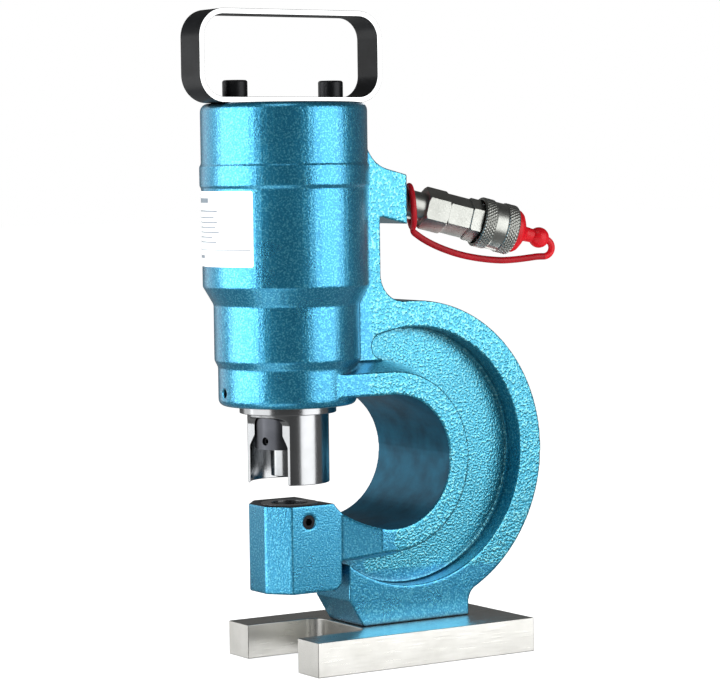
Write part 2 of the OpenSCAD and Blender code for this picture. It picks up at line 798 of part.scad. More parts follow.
shoulder_d = adapter_neck_d + 4;
shoulder_h = 3;
washer_h = 1.5;
hex_z = adapter_neck_l;
body_z = hex_z + adapter_hex_l;
tail_l = 12;
collar_s = body_z + coupler_hex_l;
barrel_z = collar_s + coupler_collar_l;
sleeve_z = barrel_z + seat_clear;
sleeve_end = sleeve_z + sleeve_l;
barrel_end = sleeve_end - 1;
barrel_r = 12.5;
mouth_r = 9.6;
skirt_l = 12;
inner_step = sleeve_z + skirt_l;
lip_l = 3;
ball_z = sleeve_end - 7;
ball_ring_r = barrel_r + run_clear - ball_d / 2;
seat_drop = 22;
seat_z = sleeve_end - seat_drop;
seat_r = 5;
chamber_r = 7.8;
poppet_r = 6;
poppet_z = seat_z - 6;
stem_r = 2.6;
plug_z = sleeve_end + seat_clear;
plug_flange_h = 7.7;

module inlet_adapter()
    color("#B9BBBE") on_port() difference() {
        union() {
            translate([0, 0, -port_depth + 1]) cylinder(d = port_thread_d - 2 * thread_clear, h = port_depth + washer_h);
            translate([0, 0, washer_h]) cylinder(d = shoulder_d, h = shoulder_h);
            translate([0, 0, washer_h]) cylinder(d = adapter_neck_d, h = hex_z);
            hex_bar(adapter_af, hex_z, body_z, 1.6);
            translate([0, 0, body_z - eps]) cylinder(d = port_thread_d - 2 * thread_clear, h = tail_l + eps);
        }
        translate([0, 0, -port_depth]) cylinder(d = oil_d, h = far);
    }

module adapter_seal()
    color("#8F6A3A") on_port() ring(shoulder_d / 2, port_thread_d / 2 + thread_clear, 0, washer_h);

module coupler_body() {
    groove_r = barrel_r - 0.8;
    color("#C2C4C6") on_port() difference() {
        union() {
            hex_bar(coupler_af, body_z, collar_s, 0.8);
            hex_bar(coupler_collar_af, collar_s, barrel_z, 1);
            translate([0, 0, barrel_z - eps]) cylinder(r = barrel_r, h = barrel_end - barrel_z + eps);
        }
        // Thread, valve chamber, seat and mouth
        translate([0, 0, body_z - eps]) cylinder(d = port_thread_d, h = tail_l + 2 * eps);
        translate([0, 0, body_z]) cylinder(r = chamber_r, h = seat_z - body_z);
        cylinder(r = seat_r, h = sleeve_end);
        translate([0, 0, seat_z + 4]) cylinder(r = mouth_r, h = far);
        // Seal groove, ball holes and snap ring groove
        ring(mouth_r + 1.9, 0, ball_z - 8, ball_z - 5);
        for (i = [0 : ball_count - 1]) translate([0, 0, ball_z]) rotate([0, 0, i * 360 / ball_count]) rotate([0, 90, 0])
            cylinder(d = ball_d + 2 * thread_clear, h = far);
        ring(barrel_r + eps, groove_r, sleeve_end - lip_l + seat_clear, sleeve_end - 1.4);
    }
}

module coupler_sleeve() {
    knurl_r = sleeve_d / 2;
    waist_r = knurl_r - 0.8;
    knurl_l = (sleeve_l - waist_l) / 2;
    bevel = 0.8;
    inner_r = barrel_r + run_clear;
    lip_r = inner_r + 2.6;
    skirt_r = coupler_collar_af / sqrt(3) + 0.5;
    color("#A8AAAC") on_port() rotate_extrude() polygon([
        [skirt_r, sleeve_z], [knurl_r - bevel, sleeve_z], [knurl_r, sleeve_z + bevel],
        [knurl_r, sleeve_z + knurl_l - bevel], [waist_r, sleeve_z + knurl_l],
        [waist_r, sleeve_end - knurl_l], [knurl_r, sleeve_end - knurl_l + bevel],
        [knurl_r, sleeve_end - bevel], [knurl_r - bevel, sleeve_end], [lip_r, sleeve_end],
        [lip_r, sleeve_end - lip_l], [inner_r, sleeve_end - lip_l], [inner_r, inner_step], [skirt_r, inner_step]
    ]);
}

module sleeve_spring()
    color("#8C8E92") on_port() coil(barrel_r + 2, 1.4, 3, barrel_z + seat_clear, inner_step - seat_clear);

module sleeve_snap_ring()
    color("#3A3A3C") on_port() ring(barrel_r + 1.6, barrel_r - 0.7, sleeve_end - lip_l + seat_clear + thread_clear,
                                    sleeve_end - 1.5);

module locking_balls()
    color("#D0D2D5") on_port()
        for (i = [0 : ball_count - 1]) translate([0, 0, ball_z]) rotate([0, 0, i * 360 / ball_count])
            translate([ball_ring_r - thread_clear, 0, 0]) sphere(d = ball_d, $fn = 24);

module coupler_seal()
    color("#1C1C1C") on_port() o_ring(mouth_r + 0.4, 1.4, ball_z - 6.5);

// Poppet with a hexagonal guide that lets oil past, and a cone that stands off the seat by a hair
module valve_poppet() {
    cone_line = seat_z + seat_r - seat_clear * sqrt(2);
    guide_h = 3.5;
    color("#B08A4A") on_port() {
        translate([0, 0, poppet_z]) cylinder(r = chamber_r - seat_clear, h = guide_h, $fn = 6);
        rotate_extrude() polygon([
            [0, poppet_z], [poppet_r, poppet_z], [poppet_r, cone_line - poppet_r],
            [stem_r, cone_line - stem_r], [stem_r, seat_z + 6], [0, seat_z + 6]
        ]);
    }
}

module valve_spring()
    color("#8C8E92") on_port() coil(4.6, 1.2, 4, body_z + tail_l + seat_clear, poppet_z - seat_clear);

// Dust plug, its ring and the tether

knob_neck_d = 9.4;
knob_gap = 8;
knob_z = plug_z + plug_flange_h + knob_gap + knob_d / 2;
plug_nose_l = 14;
hook_r = 6.5;
hook_angle = 165;
hook_z = knob_z + knob_d / 2 - 2;

module dust_plug() {
    bell = 2.6;
    color("#D6212B") on_port() {
        // Nose, flange, neck and ball knob
        rotate_extrude() {
            polygon([
                [0, plug_z - plug_nose_l], [plug_nose_d / 2 - 1, plug_z - plug_nose_l],
                [plug_nose_d / 2, plug_z - plug_nose_l + 1], [plug_nose_d / 2, plug_z],
                [plug_d / 2, plug_z], [plug_d / 2, plug_z + plug_flange_h - bell - 2],
                [plug_d / 2 - bell / 2, plug_z + plug_flange_h - bell],
                [plug_d / 2 - 2 * bell, plug_z + plug_flange_h],
                [knob_neck_d / 2 + bell, plug_z + plug_flange_h + bell / 2],
                [knob_neck_d / 2 + bell / 3, plug_z + plug_flange_h + 1.5 * bell],
                [knob_neck_d / 2, knob_z], [0, knob_z]
            ]);
            intersection() {
                translate([0, knob_z]) circle(d = knob_d);
                translate([0, 0]) square([far, far]);
            }
        }
        // Moulded hook that turns the tether back under the coupler
        translate([hook_r, 0, hook_z]) rotate([90, 0, 0])
            rotate([0, 0, 180 - hook_angle]) rotate_extrude(angle = hook_angle)
                translate([hook_r, 0]) circle(d = tether_d, $fn = 32);
    }
}

ring_drop = 8.2;
ring_lean = 18.5;
ring_swing = 13;
ring_z = hex_z - ring_drop;
ring_r = (ring_inner_d + ring_wire_d) / 2;
ring_sag = ring_r * cos(ring_lean) - (ring_wire_d + adapter_neck_d) / 2 - seat_clear / 2;

// Ring that hangs askew on the adapter's neck, its lower side pulled out by the tether
module tether_ring()
    color("#D6212B") on_port() translate([ring_sag, 0, ring_z]) rotate([ring_swing, -ring_lean, 0])
        o_ring(ring_r, ring_wire_d / 2, 0);

// Tether's route, from the ring to the hook, as distances along the port's axis and below it
tether_sides = 10;
tether_gap = 1.3;
hook_lean = 180 - hook_angle;
hook_end = [hook_z + hook_r * sin(hook_lean), hook_r + hook_r * cos(hook_lean)];
hook_dir = [-cos(hook_lean), sin(hook_lean)];
ring_low = [ring_z + ring_r * sin(ring_lean), ring_sag + ring_r * cos(ring_lean)];
ring_dir = [cos(65), sin(65)];
tether_route = concat(
    [ring_low + (ring_wire_d / 2 + tether_gap) * ring_dir],
    [
        [30.5, 20.4], [36, 22.4], [42, 24], [50, 25.5], [59, 26.5], [68, 26.9], [78, 26.6],
        [89, 25.5], [101, 23.5], [112, 20.3], [122, 16.7]
    ],
    [hook_end + 5.5 * hook_dir, hook_end + 0.2 * hook_dir]
);

module plug_tether() {
    sections = [
        for (i = [0 : len(tether_route) - 1])
            let (
                here = tether_route[i],
                ahead = tether_route[min(i + 1, len(tether_route) - 1)],
                behind = tether_route[max(i - 1, 0)],
                run = (ahead - behind) / norm(ahead - behind)
            )
                [for (j = [0 : tether_sides - 1])
                    let (a = j * 360 / tether_sides, side = tether_d / 2 * sin(a), up = tether_d / 2 * cos(a))
                        [here[1] + up * run[0], side, here[0] - up * run[1]]]
    ];
    color("#C81F2A") on_port() tube_of(sections, tether_sides);
}

frame_casting();
base_plate();
base_screws();
cylinder_cap();
cap_seal();
carry_handle();
handle_screws();
guide_bush();
rod_wiper();
ram();
piston_seal();
piston_wear_ring();
return_spring();
punch();
punch_set_screw();
stripper();
stripper_set_screw();
die();
die_set_screw();
inlet_adapter();
adapter_seal();
coupler_body();
coupler_sleeve();
sleeve_spring();
sleeve_snap_ring();
locking_balls();
coupler_seal();
valve_poppet();
valve_spring();
dust_plug();
tether_ring();
plug_tether();
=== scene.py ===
import json
import math
import bmesh
import bpy
import numpy as np
from mathutils import Matrix, Vector

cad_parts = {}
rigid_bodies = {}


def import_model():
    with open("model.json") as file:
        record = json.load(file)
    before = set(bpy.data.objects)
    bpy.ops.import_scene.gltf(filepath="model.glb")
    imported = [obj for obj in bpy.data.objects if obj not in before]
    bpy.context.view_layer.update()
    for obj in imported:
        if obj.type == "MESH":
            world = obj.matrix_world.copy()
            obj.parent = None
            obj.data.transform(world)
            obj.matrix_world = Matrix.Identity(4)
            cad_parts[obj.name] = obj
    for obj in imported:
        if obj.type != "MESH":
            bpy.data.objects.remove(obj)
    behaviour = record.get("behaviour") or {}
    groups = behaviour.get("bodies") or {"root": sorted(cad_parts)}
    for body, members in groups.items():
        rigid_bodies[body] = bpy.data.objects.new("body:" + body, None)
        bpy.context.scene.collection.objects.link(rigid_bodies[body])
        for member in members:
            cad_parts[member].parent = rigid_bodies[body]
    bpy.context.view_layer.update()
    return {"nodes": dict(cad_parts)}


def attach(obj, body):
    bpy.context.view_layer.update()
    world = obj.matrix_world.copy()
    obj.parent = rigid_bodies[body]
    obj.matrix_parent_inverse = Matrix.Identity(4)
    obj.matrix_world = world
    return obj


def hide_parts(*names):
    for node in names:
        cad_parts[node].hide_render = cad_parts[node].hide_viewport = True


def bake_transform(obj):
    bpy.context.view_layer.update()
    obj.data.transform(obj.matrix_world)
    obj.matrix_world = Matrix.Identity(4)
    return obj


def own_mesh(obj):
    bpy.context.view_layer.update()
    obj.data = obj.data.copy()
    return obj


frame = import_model()
nodes = frame["nodes"]
mm = 0.001
scene = bpy.context.scene
punchAxisX = -78.0  # in mm: the cylinder, the ram, the punch and the die stand on it

# the photo's camera, solved from the plate, the cylinder and the handle
photoCamera = {
    "place": (-1.10976, -1.71290, 0.35860),
    "right": (0.842197, -0.539011, -0.013108),
    "up": (0.044906, 0.045898, 0.997936),
    "look": (0.537297, 0.841047, -0.062860),
    "lens": 138.85, "sensor": 36.0, "clip": (0.05, 60.0),
}
cameraData = bpy.data.cameras.new("photoCamera")
cameraData.lens = photoCamera["lens"]
cameraData.sensor_width = photoCamera["sensor"]
cameraData.clip_start, cameraData.clip_end = photoCamera["clip"]
cameraObject = bpy.data.objects.new("photoCamera", cameraData)
scene.collection.objects.link(cameraObject)
axes = (Vector(photoCamera["right"]), Vector(photoCamera["up"]), -Vector(photoCamera["look"]))
cameraTurn = Matrix(axes).transposed().to_4x4()
cameraObject.matrix_world = Matrix.Translation(photoCamera["place"]) @ cameraTurn
scene.camera = cameraObject
print("camera set")

# the oil port, in mm and degrees: along is out of the boss, below is under it
port = {"place": (8.0, 0.0, 336.5), "tilt": 14.5, "yaw": 13.0}
tilt, yaw = math.radians(port["tilt"]), math.radians(port["yaw"])
portAlong = Vector((math.cos(tilt) * math.cos(yaw), -math.cos(tilt) * math.sin(yaw), -math.sin(tilt)))
portBelow = Vector((-math.sin(tilt) * math.cos(yaw), math.sin(tilt) * math.sin(yaw), -math.cos(tilt)))
portSide = Vector((math.sin(yaw), math.cos(yaw), 0.0))
portStart = Vector(port["place"]) * mm
portTurn = Matrix((portBelow, portSide, portAlong)).transposed().to_4x4()
portFrame = Matrix.Translation(portStart) @ portTurn


def onPort(along, below):
    return portStart + portAlong * (along * mm) + portBelow * (below * mm)


def newPiece(name, mesh, body, slotName, *standsFor):
    piece = bpy.data.objects.new(name, mesh)
    scene.collection.objects.link(piece)
    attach(piece, body)
    if standsFor:
        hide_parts(*standsFor)
    return piece


def allSmooth(mesh):
    mesh.polygons.foreach_set("use_smooth", [True] * len(mesh.polygons))


# smooth, with hard edges where faces meet at more than the angle
def smoothShade(mesh, angle):
    allSmooth(mesh)
    mesh.set_sharp_from_angle(angle=math.radians(angle))


# rings of points joined into one tube
def skin(name, rings, closeEnds=True):
    count = len(rings[0])
    points = [tuple(p) for ring in rings for p in ring]
    faces = []
    for i in range(len(rings) - 1):
        for j in range(count):
            k = (j + 1) % count
            faces.append((i * count + j, i * count + k, (i + 1) * count + k, (i + 1) * count + j))
    if closeEnds:
        faces.append(tuple(reversed(range(count))))
        faces.append(tuple(range((len(rings) - 1) * count, len(rings) * count)))
    mesh = bpy.data.meshes.new(name)
    mesh.from_pydata(points, [], faces)
    mesh.update()
    return mesh


# round tube along a path that lies in the port's upright plane
def sweep(name, path, radii, sides):
    rings = []
    for i, (here, radius) in enumerate(zip(path, radii)):
        run = (path[min(i + 1, len(path) - 1)] - path[max(i - 1, 0)]).normalized()
        upward = run.cross(portSide).normalized()
        ring = []
        for j in range(sides):
            turn = 2 * math.pi * j / sides
            ring.append(here + portSide * (radius * math.sin(turn)) + upward * (radius * math.cos(turn)))
        rings.append(ring)
    return skin(name, rings)


# smooth curve through the points, cut in equal steps between each two
def throughPoints(points, between):
    out = []
    for i in range(len(points) - 1):
        a = points[max(i - 1, 0)]
        b, c = points[i], points[i + 1]
        d = points[min(i + 2, len(points) - 1)]
        for k in range(between):
            t = k / between
            out.append(0.5 * ((2 * b) + (c - a) * t + (2 * a - 5 * b + 4 * c - d) * t ** 2
                              + (3 * b - a - 3 * c + d) * t ** 3))
    out.append(points[-1])
    return out


# tether from the ring under the adapter to the plug's hook: along and below the port, in mm
tether = {
    "route": [(26.6, 17.1), (27.68, 19.0), (30.5, 20.4), (36, 22.4), (42, 24), (50, 25.5), (59, 26.5),
              (68, 26.9), (78, 26.6), (89, 25.5), (101, 23.5), (112, 20.3), (122, 16.7),
              (128.67, 14.2), (133.79, 12.83)],
    "between": 4, "sides": 20, "sharp": 50, "diameter": 5.0, "root": 3.8, "rootSteps": 6,
}
tetherPath = throughPoints([onPort(along, below) for along, below in tether["route"]], tether["between"])
# its root is moulded on the ring, a little thinner
rootGain = tether["diameter"] - tether["root"]
tetherRadii = [mm / 2 * (tether["root"] + rootGain * min(i / tether["rootSteps"], 1.0))
               for i in range(len(tetherPath))]
tetherMesh = sweep("redTether", tetherPath, tetherRadii, tether["sides"])
smoothShade(tetherMesh, tether["sharp"])
redTether = bpy.data.objects.new("redTether", tetherMesh)
scene.collection.objects.link(redTether)
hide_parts("plug_tether")
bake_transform(redTether)


# materials

def linear(hexCode):
    parts = [int(hexCode[i:i + 2], 16) / 255 for i in (1, 3, 5)]
    return tuple(c / 12.92 if c <= 0.04045 else ((c + 0.055) / 1.055) ** 2.4 for c in parts) + (1.0,)


def grey(value):
    return (value, value, value, 1.0)


# adds one node: sockets take a value or another node's output, settings are its own fields,
# stops are the colours of a ramp
def addNode(tree, kind, sockets=None, settings=None, stops=()):
    node = tree.nodes.new(kind)
    for name, value in (settings or {}).items():
        setattr(node, name, value)
    for name, value in (sockets or {}).items():
        if isinstance(value, bpy.types.NodeSocket):
            tree.links.new(value, node.inputs[name])
        else:
            node.inputs[name].default_value = value
    if stops:
        elements = node.color_ramp.elements
        while len(elements) < len(stops):
            elements.new(0.5)
        for element, (at, colour) in zip(elements, stops):
            element.position = at
            element.color = colour
    return node


def startMaterial(name):
    material = bpy.data.materials.new(name)
    material.use_nodes = True
    material.node_tree.nodes.clear()
    return material, material.node_tree


def endMaterial(tree, sockets):
    shader = addNode(tree, "ShaderNodeBsdfPrincipled", sockets)
    addNode(tree, "ShaderNodeOutputMaterial", {"Surface": shader.outputs["BSDF"]})


# hammertone enamel: aluminium flake in blue-green, which pulls into low lumps that glint under a clear gloss;
# the lump crests are painted paler, partly the flake's own tone and partly painted glints,
# and the creases are painted darker as painted shade; sizes in mm
hammertone = {
    "metallic": 0.88, "coat": 1.0, "coatRough": 0.22, "lumpAt": (0.36, 0.53, 0.66),
    "grain": 0.9, "grainDepth": 0.1,  # the flakes are finer, drawn as coarse as they need to show
    "cloud": 30, "cloudAt": (0.3, 0.7),
    "creaseReach": 9, "creaseAt": (0.35, 0.85), "creaseShade": (0.12, 1.0),
}


def hammertonePaint(name, lump, depth, shades, rough):
    material, tree = startMaterial(name)
    place = addNode(tree, "ShaderNodeTexCoord").outputs["Object"]
    lumps = addNode(tree, "ShaderNodeTexNoise",
                    {"Vector": place, "Scale": 1 / (lump * mm), "Detail": 1.0, "Roughness": 0.4})
    grains = addNode(tree, "ShaderNodeTexNoise",
                     {"Vector": place, "Scale": 1 / (hammertone["grain"] * mm), "Detail": 2.0,
                      "Roughness": 0.5})
    clouds = addNode(tree, "ShaderNodeTexNoise",
                     {"Vector": place, "Scale": 1 / (hammertone["cloud"] * mm), "Detail": 2.0})
    # painted shade: an occlusion test darkens the colour in creases, corners and under parts
    crease = addNode(tree, "ShaderNodeAmbientOcclusion", {"Distance": hammertone["creaseReach"] * mm},
                     {"samples": 8})
    # lump crests painted paler: partly the flake's own patchy tone, partly painted glints
    flakeAndGlint = addNode(tree, "ShaderNodeValToRGB", {"Fac": lumps.outputs["Fac"]},
                    stops=list(zip(hammertone["lumpAt"], map(linear, shades))))
    paintedCreaseShade = addNode(tree, "ShaderNodeValToRGB", {"Fac": crease.outputs["AO"]},
                     stops=list(zip(hammertone["creaseAt"], map(grey, hammertone["creaseShade"]))))
    # sockets 6 and 7 are the mix's two colours, and output 2 is its colour
    tint = addNode(tree, "ShaderNodeMix",
                   {"Factor": 1.0, 6: flakeAndGlint.outputs["Color"], 7: paintedCreaseShade.outputs["Color"]},
                   {"data_type": "RGBA", "blend_type": "MULTIPLY"})
    gloss = addNode(tree, "ShaderNodeValToRGB", {"Fac": clouds.outputs["Fac"]},
                    stops=list(zip(hammertone["cloudAt"], map(grey, rough))))
    fine = addNode(tree, "ShaderNodeBump", {"Height": grains.outputs["Fac"], "Strength": 0.4,
                                            "Distance": hammertone["grainDepth"] * mm})
    coarse = addNode(tree, "ShaderNodeBump", {"Height": lumps.outputs["Fac"], "Strength": 1.0,
                                              "Distance": depth * mm, "Normal": fine.outputs["Normal"]})
    endMaterial(tree, {
        "Metallic": hammertone["metallic"], "Coat Weight": hammertone["coat"],
        "Coat Roughness": hammertone["coatRough"], "Base Color": tint.outputs[2],
        "Roughness": gloss.outputs["Color"], "Normal": coarse.outputs["Normal"],
        "Coat Normal": coarse.outputs["Normal"],
    })
    return material


# bare metals: faint clouds in the colour, and tool marks in the roughness and the normal; sizes in mm
toolMarks = {"cloud": 18, "cloudAt": (0.3, 0.75), "markAt": (0.25, 0.75), "roughShare": (0.75, 1.3),
             "strength": 0.5}


def bareMetal(name, light, dark, roughness, mark, stretch, depth):
    material, tree = startMaterial(name)
    place = addNode(tree, "ShaderNodeTexCoord").outputs["Object"]
    along = addNode(tree, "ShaderNodeMapping", {"Vector": place, "Scale": stretch})
    marks = addNode(tree, "ShaderNodeTexNoise",
                    {"Vector": along.outputs["Vector"], "Scale": 1 / (mark * mm), "Detail": 4.0})
    clouds = addNode(tree, "ShaderNodeTexNoise",
                     {"Vector": place, "Scale": 1 / (toolMarks["cloud"] * mm), "Detail": 3.0})
    colour = addNode(tree, "ShaderNodeValToRGB", {"Fac": clouds.outputs["Fac"]},
                     stops=list(zip(toolMarks["cloudAt"], map(linear, (light, dark)))))
    rough = [grey(roughness * share) for share in toolMarks["roughShare"]]
    gloss = addNode(tree, "ShaderNodeValToRGB", {"Fac": marks.outputs["Fac"]},
                    stops=list(zip(toolMarks["markAt"], rough)))
    bump = addNode(tree, "ShaderNodeBump", {"Height": marks.outputs["Fac"], "Strength": toolMarks["strength"],
                                            "Distance": depth * mm})
    endMaterial(tree, {"Metallic": 1.0, "Base Color": colour.outputs["Color"],
                       "Roughness": gloss.outputs["Color"], "Normal": bump.outputs["Normal"]})
    return material


# coatings and plastics: a colour that drifts a little, and a fine skin; sizes in mm
fineSkin = {"drift": 14, "at": (0.3, 0.7), "roughShare": (0.85, 1.15), "strength": 0.4}


def coated(name, light, dark, roughness, grain, depth, sockets=None):
    material, tree = startMaterial(name)
    place = addNode(tree, "ShaderNodeTexCoord").outputs["Object"]
    drift = addNode(tree, "ShaderNodeTexNoise",
                    {"Vector": place, "Scale": 1 / (fineSkin["drift"] * mm), "Detail": 3.0})
    speck = addNode(tree, "ShaderNodeTexNoise",
                    {"Vector": place, "Scale": 1 / (grain * mm), "Detail": 3.0, "Roughness": 0.6})
    colour = addNode(tree, "ShaderNodeValToRGB", {"Fac": drift.outputs["Fac"]},
                     stops=list(zip(fineSkin["at"], map(linear, (light, dark)))))
    rough = [grey(roughness * share) for share in fineSkin["roughShare"]]
    gloss = addNode(tree, "ShaderNodeValToRGB", {"Fac": speck.outputs["Fac"]},
                    stops=list(zip(fineSkin["at"], rough)))
    bump = addNode(tree, "ShaderNodeBump", {"Height": speck.outputs["Fac"], "Strength": fineSkin["strength"],
                                            "Distance": depth * mm})
    endMaterial(tree, {"Base Color": colour.outputs["Color"], "Roughness": gloss.outputs["Color"],
                       "Normal": bump.outputs["Normal"], **(sockets or {})})
    return material


# tool marks are cut a few times coarser than the real ones, so that they show
level = (1.0, 1.0, 1.0)
alongX = (0.03, 1.0, 1.0)  # long streaks
roundZ = (1.0, 1.0, 14.0)  # close rings
# on the rough casting the enamel lies in lumps: a coarse glitter, from the bumps and from paler crests
# painted in as glints
castPaint = hammertonePaint("hammertoneEnamelOnCastSteel", lump=1.6, depth=0.44, rough=(0.26, 0.33),
                            shades=("#2898B6", "#36AAC8", "#7CD2E0"))
# turned and milled outsides take it in a closer, flatter grain: clear highlights with a fine glitter;
# its shades are darker than the casting's, and on the foot that darkness stands as painted shade
fineAndShadedPaint = hammertonePaint("hammertoneFineEnamelWithPaintedShade", lump=1.2, depth=0.15, rough=(0.26, 0.32),
                            shades=("#1F8CB8", "#2A9CC6", "#5CC2E0"))
# bored wall: the same enamel sprayed on a machined face, so it lies smooth; its much darker shades are
# painted shade inside the throat
boreEnamelWithPaintedShade = coated("smoothEnamelWithPaintedShadeInBore", "#1F6A87", "#164F67", roughness=0.36, grain=1.2, depth=0.02,
                   sockets={"Metallic": 0.6})
# bright mild steel from the mill: nearly white, with streaks along the plate
milledPlate = bareMetal("millCutMildSteel", "#F3F2ED", "#E6E5DF", roughness=0.32, mark=0.7, stretch=alongX,
                        depth=0.02)
# turned and oiled: a dark disc with rings that catch a thin sheen
turnedCap = bareMetal("turnedOiledSteel", "#3A4047", "#262B30", roughness=0.32, mark=0.8, stretch=roundZ,
                      depth=0.02)
# milled through the paint and oiled: a grey face with streaks
machinedTop = bareMetal("millCutOiledSteel", "#6A6E72", "#4E5256", roughness=0.3, mark=0.8, stretch=alongX,
                        depth=0.02)
# powder coat: deep black with a soft satin sheen and a slight orange peel
powderBlack = coated("satinBlackPowderCoat", "#1B1D20", "#101214", roughness=0.36, grain=0.5, depth=0.04,
                     sockets={"Specular IOR Level": 0.35})
# the strip's cut edges, ground bare: a bright line round the handle
cutEdge = bareMetal("polishedCutSteelEdge", "#F4F5F5", "#E6E8E8", roughness=0.16, mark=0.8, stretch=alongX,
                    depth=0.01)
# black oxide: a thin black skin that still has the metal's dull sheen
blackOxide = coated("blackOxideSteel", "#202124", "#141517", roughness=0.38, grain=0.6, depth=0.03,
                    sockets={"Metallic": 0.6})
# chromed and polished: clear upright bands of light and dark
polished = bareMetal("polishedChromedSteel", "#C6C8CA", "#B8BABC", roughness=0.19, mark=0.9, stretch=roundZ,
                     depth=0.003)
# ground tool steel: light grey with fine grinding rings
groundTool = bareMetal("groundToolSteel", "#C9CCCE", "#B2B5B8", roughness=0.2, mark=0.6, stretch=roundZ,
                       depth=0.008)
# nitrided and ground: a darker, duller grey
darkRod = bareMetal("nitridedGroundSteel", "#6E7076", "#5A5C62", roughness=0.3, mark=0.6, stretch=roundZ,
                    depth=0.008)
# zinc plate: a soft, slightly clouded pale grey
zinc = bareMetal("zincPlatedTurnedSteel", "#D6D8D2", "#BCBEB8", roughness=0.33, mark=0.8, stretch=level,
                 depth=0.01)
# rolled knurl: crests painted paler, partly rubbed wear and partly painted highlight; grooves painted dark as
# painted shade
zincKnurl = bareMetal("zincPlatedKnurledSteel", "#F0F2EC", "#DEE0DA", roughness=0.5, mark=0.8, stretch=level,
                      depth=0.01)
knurlGrooveShade = bareMetal("paintedShadeInKnurlGroove", "#3A3B39", "#262725", roughness=0.45, mark=0.8, stretch=level,
                        depth=0.01)
# drawn wire: smooth, mid grey
wire = bareMetal("drawnSpringSteel", "#75787C", "#5C5F63", roughness=0.3, mark=0.8, stretch=level, depth=0.01)
# turned bronze: warm yellow with fine rings
bushBronze = bareMetal("turnedBronze", "#B98B4B", "#96703A", roughness=0.3, mark=0.8, stretch=roundZ,
                       depth=0.012)
# moulded vinyl: an even, strong red with a satin skin
redVinyl = coated("mouldedRedVinyl", "#D00A1C", "#BC0817", roughness=0.36, grain=1.2, depth=0.03,
                  sockets={"Specular IOR Level": 0.3})
# the thin tether is the same vinyl, drawn and a shade deeper
cordVinyl = coated("drawnRedVinyl", "#AE0A1C", "#960816", roughness=0.38, grain=1.2, depth=0.03,
                   sockets={"Specular IOR Level": 0.25})
# moulded rubber: dull black
nitrile = coated("mouldedNitrileRubber", "#1B1B1C", "#111112", roughness=0.6, grain=0.5, depth=0.03)
# moulded urethane: dull blue with a waxy sheen
urethane = coated("mouldedUrethane", "#35598C", "#274878", roughness=0.45, grain=0.8, depth=0.02)
# label vinyl: clean white with a low gloss, and bars of flat grey ink
labelVinyl = coated("printedVinylLabel", "#F4F6F6", "#ECEFEF", roughness=0.38, grain=0.6, depth=0.01)
labelInk = coated("greyLabelInk", "#7E8A94", "#707C86", roughness=0.45, grain=0.6, depth=0.01)
print("materials made")


def paint(piece, *materials):
    piece.data.materials.clear()
    for material in materials:
        piece.data.materials.append(material)


weld = {"reach": 0.002, "flatAngle": 0.5}  # mm and degrees


# CAD mesh as one welded skin, in a new mesh
def welded(nodeName):
    mesh = bpy.data.meshes.new(nodeName + "Work")
    work = bmesh.new()
    work.from_mesh(nodes[nodeName].data)
    bmesh.ops.remove_doubles(work, verts=work.verts, dist=weld["reach"] * mm)
    bmesh.ops.dissolve_limit(work, angle_limit=math.radians(weld["flatAngle"]), verts=work.verts,
                             edges=work.edges)
    work.to_mesh(mesh)
    work.free()
    # the CAD normals no longer fit the new faces
    if "custom_normal" in mesh.attributes:
        mesh.attributes.remove(mesh.attributes["custom_normal"])
    return mesh


# the piece's modifiers, made real in its mesh
def applyAll(piece):
    shown = bpy.context.evaluated_depsgraph_get()
    bpy.context.view_layer.update()
    finished = bpy.data.meshes.new_from_object(piece.evaluated_get(shown), preserve_all_data_layers=True,
                                               depsgraph=shown)
    kept = [slot.material for slot in piece.material_slots]
    piece.modifiers.clear()
    piece.data = finished
    paint(piece, *kept)


edgeBreak = {"angle": 30.0, "weight": 100}


# a node with its sharp edges broken, as a deburred piece has them; width in mm
def softened(name, nodeName, body, slotName, material, width, segments=2, clamp=True):
    mesh = welded(nodeName)
    piece = newPiece(name, mesh, body, slotName, nodeName)
    bevel = piece.modifiers.new("edges", "BEVEL")
    bevel.width = width * mm
    bevel.segments = segments
    bevel.limit_method = "ANGLE"
    bevel.angle_limit = math.radians(edgeBreak["angle"])
    # the clamp narrows every edge of a piece to what its shortest one takes
    bevel.use_clamp_overlap = clamp
    # large faces keep their own normals, so only the bevels look round
    flat = piece.modifiers.new("flatFaces", "WEIGHTED_NORMAL")
    flat.weight = edgeBreak["weight"]
    allSmooth(mesh)
    paint(piece, material)
    applyAll(piece)
    return piece


# casting: cast skin with rounded edges, milled top on the die block and a bored throat; in mm
casting = {
    "voxel": 0.8, "smooth": 5, "smoothShare": 0.5, "keep": 0.4,
    "throat": (-18.0, 147.0), "throatRadius": 48.5, "boreReach": 0.6, "boreTilt": 0.5, "boreFrontX": -57,
    "dieTop": 118.0, "topReach": 0.5, "topTilt": 0.8, "topRearX": -40,
    "turnedRadius": 62.5, "turnedFrom": 190, "blockRearX": -18, "blockTo": 119, "footTo": 62,
}
castMesh = welded("frame_casting")
blueCasting = newPiece("blueCasting", castMesh, "frame", "casting_paint", "frame_casting")
remesh = blueCasting.modifiers.new("cast", "REMESH")
remesh.mode = "VOXEL"
remesh.voxel_size = casting["voxel"] * mm
remesh.use_smooth_shade = True
relax = blueCasting.modifiers.new("relax", "SMOOTH")
relax.factor = casting["smoothShare"]
relax.iterations = casting["smooth"]
thin = blueCasting.modifiers.new("thin", "DECIMATE")
thin.ratio = casting["keep"]
castFinishes = [castPaint, boreEnamelWithPaintedShade, machinedTop, fineAndShadedPaint]
paint(blueCasting, *castFinishes)
applyAll(blueCasting)
castMesh = blueCasting.data
centres = np.zeros(len(castMesh.polygons) * 3)
normals = np.zeros(len(castMesh.polygons) * 3)
